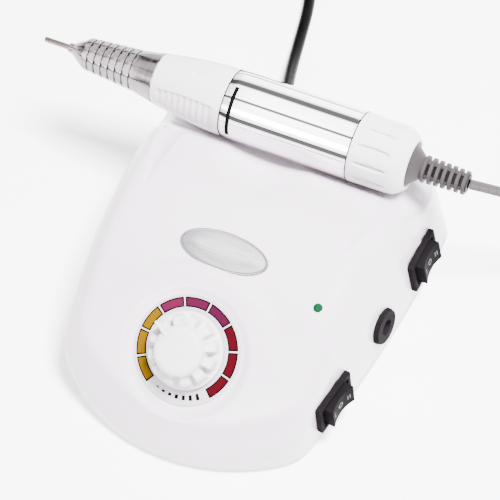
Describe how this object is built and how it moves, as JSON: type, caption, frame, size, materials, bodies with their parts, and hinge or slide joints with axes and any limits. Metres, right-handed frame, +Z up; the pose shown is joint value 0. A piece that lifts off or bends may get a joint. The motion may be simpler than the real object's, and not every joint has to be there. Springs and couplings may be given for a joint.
{
  "type": "electric nail drill",
  "caption": "Desktop electric nail drill: white control box with speed dial, rocker switches, indicator and corded motor handpiece resting in the trough on top",
  "frame": {"origin": "on the table, under the middle of the box's footprint", "axes": "+X to the box's switch side, along the handpiece from bit to lead; +Y to the rear; +Z up"},
  "size_m": [0.2742, 0.2944, 0.0707],
  "materials": {
    "box_white": "gloss",
    "base_plastic": "matt",
    "foot_rubber": "matt",
    "screw_steel": "satin",
    "scale_print": "satin",
    "knob_white": "satin",
    "shaft_brass": "satin",
    "bright_metal": "polished",
    "switch_black": "satin",
    "lens_green": "gloss",
    "badge_silver": "satin",
    "core_steel": "matt",
    "winding_tape": "satin",
    "board_green": "satin",
    "can_black": "satin",
    "fin_aluminium": "satin",
    "fuse_glass": "clear",
    "nose_steel": "satin",
    "barrel_steel": "polished",
    "handpiece_white": "satin",
    "boot_grey": "satin",
    "magnet_dark": "matt",
    "winding_copper": "satin",
    "carbon": "matt",
    "cord_black": "satin",
    "lead_grey": "satin"
  },
  "bodies": {
    "box": {"top_shell": "box_white", "base_plate": "base_plastic", "rubber_feet": "foot_rubber", "case_screws": "screw_steel", "speed_scale": "scale_print", "pot_nut": "bright_metal", "pot_body": "core_steel", "power_switch_body": "switch_black", "power_switch_blades": "shaft_brass", "direction_switch_body": "switch_black", "direction_switch_blades": "shaft_brass", "socket_ring": "switch_black", "socket_body": "switch_black", "badge_frame": "bright_metal", "badge_dome": "badge_silver", "led_lens": "lens_green", "transformer_core": "core_steel", "transformer_winding": "winding_tape", "transformer_strap": "core_steel", "transformer_screws": "screw_steel", "control_board": "board_green", "board_screws": "screw_steel", "capacitors": "can_black", "power_transistor": "can_black", "heat_sink": "fin_aluminium", "fuse": "fuse_glass", "fuse_clips": "shaft_brass", "mains_strain_relief": "cord_black", "mains_cord": "cord_black", "mains_coil": "cord_black", "mains_plug": "cord_black", "mains_pins": "bright_metal", "handpiece_lead": "lead_grey", "lead_coil": "lead_grey", "lead_plug": "boot_grey", "lead_plug_barrel": "bright_metal"},
    "knob": {"speed_knob": "knob_white", "pot_shaft": "shaft_brass"},
    "power_rocker": {"power_paddle": "switch_black"},
    "direction_rocker": {"direction_paddle": "switch_black"},
    "handpiece": {"barrel": "barrel_steel", "rear_cap": "handpiece_white", "cable_boot": "boot_grey", "bearing_housing": "fin_aluminium", "spindle_bearings": "screw_steel", "motor_can": "core_steel", "motor_magnets": "magnet_dark", "motor_end_cap": "can_black", "carbon_brushes": "carbon"},
    "lock_sleeve": {"grip_sleeve": "handpiece_white", "nose_cone": "nose_steel", "cam_ring": "shaft_brass"},
    "rotor": {"spindle": "nose_steel", "collet": "nose_steel", "drive_coupling": "shaft_brass", "motor_shaft": "screw_steel", "armature": "core_steel", "commutator": "winding_copper"},
    "bit": {"bit": "nose_steel"}
  },
  "joints": [
    {"name": "speed_knob_turn", "type": "hinge", "parent": "box", "child": "knob", "pos_m": [0, -0.04552, 0.0336], "axis": [0, -0.5821, 0.8131], "range_deg": [-192, 90]},
    {"name": "power_rocker_tilt", "type": "hinge", "parent": "box", "child": "power_rocker", "pos_m": [0.06013, 0.03628, 0.01661], "axis": [-0.1806, 0.005, 0.9835], "range_deg": [-10, 10]},
    {"name": "direction_rocker_tilt", "type": "hinge", "parent": "box", "child": "direction_rocker", "pos_m": [0.05359, -0.03499, 0.01655], "axis": [-0.0754, 0.0119, 0.9971], "range_deg": [-10, 10]},
    {"name": "handpiece_lift", "type": "slide", "parent": "box", "child": "handpiece", "axis": [0, 0, 1], "range_m": [0, 0.06]},
    {"name": "lock_sleeve_twist", "type": "hinge", "parent": "handpiece", "child": "lock_sleeve", "pos_m": [-0.04, 0.049, 0.057], "axis": [1, 0, 0], "range_deg": [0, 45]},
    {"name": "spindle_spin", "type": "hinge", "parent": "handpiece", "child": "rotor", "pos_m": [-0.04, 0.049, 0.057], "axis": [1, 0, 0], "continuous": true},
    {"name": "bit_pull", "type": "slide", "parent": "rotor", "child": "bit", "axis": [-1, 0, 0], "range_m": [0, 0.03]}
  ]
}
